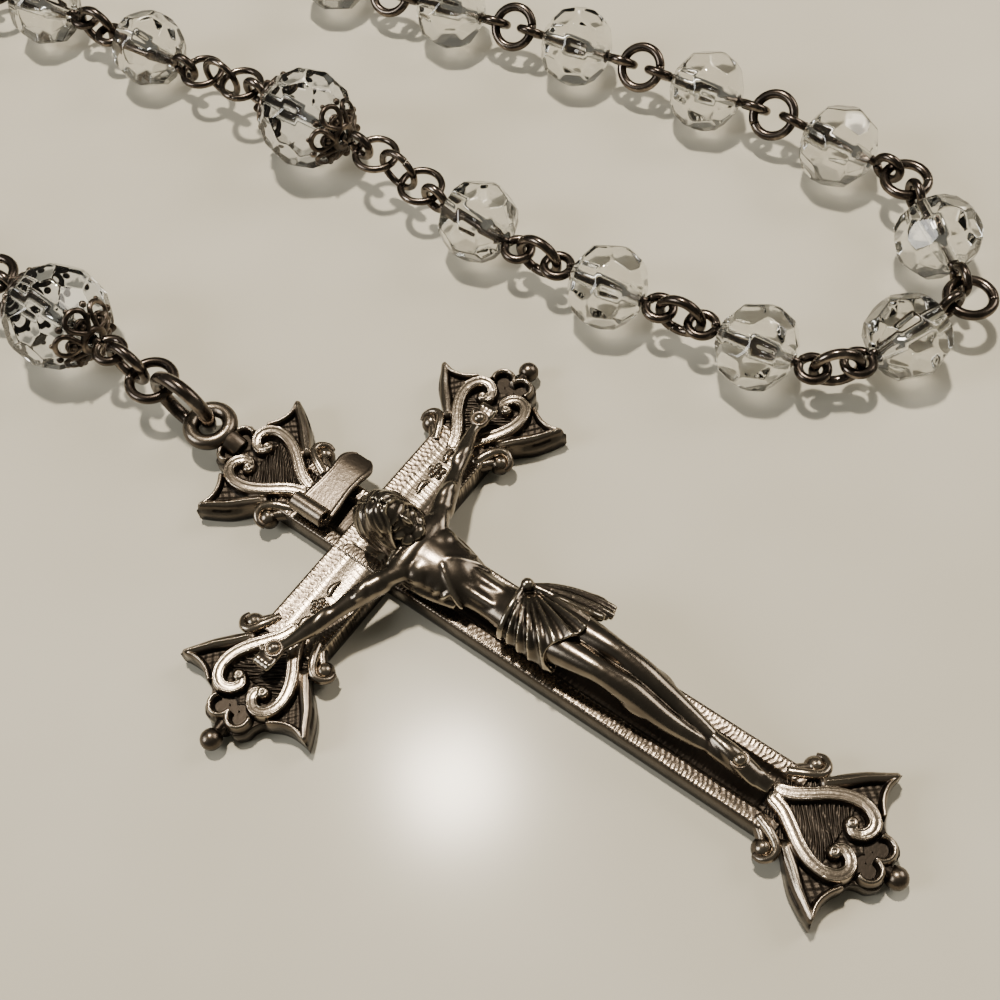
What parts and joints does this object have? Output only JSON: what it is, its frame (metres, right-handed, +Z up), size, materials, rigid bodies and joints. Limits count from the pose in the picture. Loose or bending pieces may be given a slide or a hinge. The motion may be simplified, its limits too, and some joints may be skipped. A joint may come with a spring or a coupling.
{
  "type": "rosary",
  "caption": "Rosary of clear glass beads on linked wire pins, with capped crystal Our Father beads and a scrolled antique silver crucifix with a corpus.",
  "frame": {"origin": "on the resting surface, under the crossing of the crucifix, at the centre of its flat back", "axes": "+Y up the shaft of the cross towards its bail, +X along its arm, +Z up out of the front of the corpus"},
  "size_m": [0.1182, 0.209, 0.0076],
  "materials": {
    "glass": "clear fire-polished glass with irregular facets",
    "crystal": "clear cut crystal glass",
    "antique_silver": "cast antique silver, dark in the recesses and rubbed bright on the edges",
    "silver_relief": "cast antique silver, soft worn relief",
    "dark_silver": "oxidised silver filigree",
    "wire": "polished oxidised silver wire"
  },
  "bodies": {
    "medal": {"centre_medal": "antique_silver"},
    "pendant": {"pendant_beads": "glass", "pendant_caps": "dark_silver", "pendant_wires": "wire"},
    "pendant_father": {"pendant_father_pin": "wire"},
    "pendant_father_bead": {"pendant_father_bead": "crystal", "pendant_father_caps": "dark_silver"},
    "link": {"pendant_link": "wire", "pendant_ring": "wire"},
    "carrier": {"crucifix_ring": "wire"},
    "crucifix": {"crucifix_cross": "antique_silver", "corpus": "silver_relief", "title_scroll": "antique_silver", "nails": "dark_silver"},
    "decade_5": {"decade_5_beads": "glass", "decade_5_caps": "dark_silver", "decade_5_wires": "wire"},
    "decade_4": {"decade_4_beads": "glass", "decade_4_wires": "wire"},
    "fourth_09": {"fourth_pin_09": "wire"},
    "fourth_09_bead": {"fourth_bead_09": "glass"},
    "fourth_10": {"fourth_pin_10": "wire", "upper_spacer_rings": "wire"},
    "fourth_10_bead": {"fourth_bead_10": "glass"},
    "our_father": {"our_father_pin": "wire", "spacer_ring_1": "wire"},
    "our_father_bead": {"our_father_bead": "crystal", "our_father_caps": "dark_silver"},
    "spacer": {"spacer_ring_2": "wire", "spacer_ring_3": "wire"},
    "hail_mary_01": {"hail_mary_pin_01": "wire"},
    "hail_mary_01_bead": {"hail_mary_bead_01": "glass"},
    "hail_mary_02": {"hail_mary_pin_02": "wire"},
    "hail_mary_02_bead": {"hail_mary_bead_02": "glass"},
    "hail_mary_03": {"hail_mary_pin_03": "wire"},
    "hail_mary_03_bead": {"hail_mary_bead_03": "glass"},
    "hail_mary_04": {"hail_mary_pin_04": "wire"},
    "hail_mary_04_bead": {"hail_mary_bead_04": "glass"},
    "hail_mary_05": {"hail_mary_pin_05": "wire"},
    "hail_mary_05_bead": {"hail_mary_bead_05": "glass"},
    "hail_mary_06": {"hail_mary_pin_06": "wire"},
    "hail_mary_06_bead": {"hail_mary_bead_06": "glass"},
    "hail_mary_07": {"hail_mary_pin_07": "wire"},
    "hail_mary_07_bead": {"hail_mary_bead_07": "glass"},
    "hail_mary_08": {"hail_mary_pin_08": "wire"},
    "hail_mary_08_bead": {"hail_mary_bead_08": "glass"},
    "hail_mary_09": {"hail_mary_pin_09": "wire"},
    "hail_mary_09_bead": {"hail_mary_bead_09": "glass"},
    "hail_mary_10": {"hail_mary_pin_10": "wire"},
    "hail_mary_10_bead": {"hail_mary_bead_10": "glass"},
    "decade_1": {"decade_1_beads": "glass", "decade_1_caps": "dark_silver", "decade_1_wires": "wire"},
    "decade_2": {"decade_2_beads": "glass", "decade_2_caps": "dark_silver", "decade_2_wires": "wire"}
  },
  "joints": [
    {"name": "crucifix_swing", "type": "hinge", "parent": "carrier", "child": "crucifix", "pos_m": [0, 0.01716, 0.00281], "axis": [-1, 0, 0], "range_deg": [0, 100]},
    {"name": "pendant_lift", "type": "hinge", "parent": "pendant", "child": "pendant_father", "pos_m": [-0.00042, 0.03817, 0.0034], "axis": [-0.9816, -0.1908, 0], "range_deg": [0, 60]},
    {"name": "strand_lift", "type": "hinge", "parent": "fourth_09", "child": "fourth_10", "pos_m": [0.02359, 0.04944, 0.003], "axis": [-0.9945, -0.1045, 0], "range_deg": [0, 60]},
    {"name": "pendant_swing", "type": "hinge", "parent": "medal", "child": "pendant", "pos_m": [-0.03365, 0.0901, 0.0015], "axis": [0, 0, 1], "range_deg": [-10, 1.5]},
    {"name": "crucifix_link_turn", "type": "hinge", "parent": "pendant_father", "child": "link", "pos_m": [0, 0.02375, 0.0038], "axis": [0, 0, 1], "range_deg": [-15, 4]},
    {"name": "crucifix_ring_turn", "type": "hinge", "parent": "link", "child": "carrier", "pos_m": [0, 0.02001, 0.00326], "axis": [0, 0, 1], "range_deg": [-15, 4]},
    {"name": "decade_5_turn", "type": "hinge", "parent": "medal", "child": "decade_5", "pos_m": [-0.03852, 0.10709, 0.0015], "axis": [0, 0, 1], "range_deg": [-1, 1]},
    {"name": "decade_4_turn", "type": "hinge", "parent": "decade_5", "child": "decade_4", "pos_m": [0.03693, 0.13891, 0.003], "axis": [0, 0, 1], "range_deg": [-0.5, 2.5]},
    {"name": "fourth_09_turn", "type": "hinge", "parent": "decade_4", "child": "fourth_09", "pos_m": [0.02207, 0.06064, 0.003], "axis": [0, 0, 1], "range_deg": [-2, 3]},
    {"name": "our_father_turn", "type": "hinge", "parent": "fourth_10", "child": "our_father", "pos_m": [0.02458, 0.03382, 0.00378], "axis": [0, 0, 1], "range_deg": [-3, 3]},
    {"name": "spacer_turn", "type": "hinge", "parent": "our_father", "child": "spacer", "pos_m": [0.02458, 0.02002, 0.00378], "axis": [0, 0, 1], "range_deg": [-3, 3]},
    {"name": "hail_mary_01_turn", "type": "hinge", "parent": "spacer", "child": "hail_mary_01", "pos_m": [0.02443, 0.01567, 0.003], "axis": [0, 0, 1], "range_deg": [-3, 3]},
    {"name": "hail_mary_02_turn", "type": "hinge", "parent": "hail_mary_01", "child": "hail_mary_02", "pos_m": [0.0238, 0.00284, 0.003], "axis": [0, 0, -1], "range_deg": [-3, 3]},
    {"name": "hail_mary_03_turn", "type": "hinge", "parent": "hail_mary_02", "child": "hail_mary_03", "pos_m": [0.02501, -0.00839, 0.003], "axis": [0, 0, 1], "range_deg": [-4, 4]},
    {"name": "hail_mary_04_turn", "type": "hinge", "parent": "hail_mary_03", "child": "hail_mary_04", "pos_m": [0.02794, -0.01896, 0.003], "axis": [0, 0, -1], "range_deg": [-6, 6]},
    {"name": "hail_mary_05_turn", "type": "hinge", "parent": "hail_mary_04", "child": "hail_mary_05", "pos_m": [0.0371, -0.02229, 0.003], "axis": [0, 0, 1], "range_deg": [-8, 8]},
    {"name": "hail_mary_06_turn", "type": "hinge", "parent": "hail_mary_05", "child": "hail_mary_06", "pos_m": [0.04436, -0.01364, 0.003], "axis": [0, 0, -1], "range_deg": [-8, 8]},
    {"name": "hail_mary_07_turn", "type": "hinge", "parent": "hail_mary_06", "child": "hail_mary_07", "pos_m": [0.04479, -0.0008, 0.003], "axis": [0, 0, 1], "range_deg": [-12, 12]},
    {"name": "hail_mary_08_turn", "type": "hinge", "parent": "hail_mary_07", "child": "hail_mary_08", "pos_m": [0.04356, 0.01043, 0.003], "axis": [0, 0, -1], "range_deg": [-16, 16]},
    {"name": "hail_mary_09_turn", "type": "hinge", "parent": "hail_mary_08", "child": "hail_mary_09", "pos_m": [0.04188, 0.0216, 0.003], "axis": [0, 0, 1], "range_deg": [-20, 20]},
    {"name": "hail_mary_10_turn", "type": "hinge", "parent": "hail_mary_09", "child": "hail_mary_10", "pos_m": [0.03972, 0.03269, 0.003], "axis": [0, 0, -1], "range_deg": [-25, 25]},
    {"name": "decade_1_turn", "type": "hinge", "parent": "medal", "child": "decade_1", "pos_m": [-0.04952, 0.0979, 0.0015], "axis": [0, 0, 1], "range_deg": [-1, 1]},
    {"name": "decade_2_turn", "type": "hinge", "parent": "decade_1", "child": "decade_2", "pos_m": [0.01878, 0.16717, 0.003], "axis": [0, 0, 1], "range_deg": [-1, 1]},
    {"name": "pendant_father_spin", "type": "hinge", "parent": "pendant_father", "child": "pendant_father_bead", "pos_m": [0, 0.02913, 0.0038], "axis": [0, 1, 0], "continuous": true},
    {"name": "our_father_spin", "type": "hinge", "parent": "our_father", "child": "our_father_bead", "pos_m": [0.02458, 0.02692, 0.0038], "axis": [0, -1, 0], "continuous": true},
    {"name": "fourth_09_spin", "type": "hinge", "parent": "fourth_09", "child": "fourth_09_bead", "pos_m": [0.02285, 0.05505, 0.003], "axis": [0.1392, -0.9903, 0], "continuous": true},
    {"name": "fourth_10_spin", "type": "hinge", "parent": "fourth_10", "child": "fourth_10_bead", "pos_m": [0.02403, 0.04381, 0.003], "axis": [0.0698, -0.9976, 0], "continuous": true},
    {"name": "hail_mary_01_spin", "type": "hinge", "parent": "hail_mary_01", "child": "hail_mary_01_bead", "pos_m": [0.02403, 0.01003, 0.003], "axis": [-0.0698, -0.9976, 0], "continuous": true},
    {"name": "hail_mary_02_spin", "type": "hinge", "parent": "hail_mary_02", "child": "hail_mary_02_bead", "pos_m": [0.02423, -0.00124, 0.003], "axis": [0.1045, -0.9945, 0], "continuous": true},
    {"name": "hail_mary_03_spin", "type": "hinge", "parent": "hail_mary_03", "child": "hail_mary_03_bead", "pos_m": [0.02551, -0.01246, 0.003], "axis": [0.1219, -0.9925, 0], "continuous": true},
    {"name": "hail_mary_04_spin", "type": "hinge", "parent": "hail_mary_04", "child": "hail_mary_04_bead", "pos_m": [0.03179, -0.02036, 0.003], "axis": [0.9397, -0.342, 0], "continuous": true},
    {"name": "hail_mary_05_spin", "type": "hinge", "parent": "hail_mary_05", "child": "hail_mary_05_bead", "pos_m": [0.04073, -0.01797, 0.003], "axis": [0.6428, 0.766, 0], "continuous": true},
    {"name": "hail_mary_06_spin", "type": "hinge", "parent": "hail_mary_06", "child": "hail_mary_06_bead", "pos_m": [0.04466, -0.00799, 0.003], "axis": [0.0523, 0.9986, 0], "continuous": true},
    {"name": "hail_mary_07_spin", "type": "hinge", "parent": "hail_mary_07", "child": "hail_mary_07_bead", "pos_m": [0.04436, 0.00328, 0.003], "axis": [-0.1045, 0.9945, 0], "continuous": true},
    {"name": "hail_mary_08_spin", "type": "hinge", "parent": "hail_mary_08", "child": "hail_mary_08_bead", "pos_m": [0.04299, 0.01449, 0.003], "axis": [-0.1392, 0.9903, 0], "continuous": true},
    {"name": "hail_mary_09_spin", "type": "hinge", "parent": "hail_mary_09", "child": "hail_mary_09_bead", "pos_m": [0.04103, 0.02561, 0.003], "axis": [-0.2079, 0.9781, 0], "continuous": true},
    {"name": "hail_mary_10_spin", "type": "hinge", "parent": "hail_mary_10", "child": "hail_mary_10_bead", "pos_m": [0.03936, 0.03677, 0.003], "axis": [-0.0872, 0.9962, 0], "continuous": true}
  ]
}
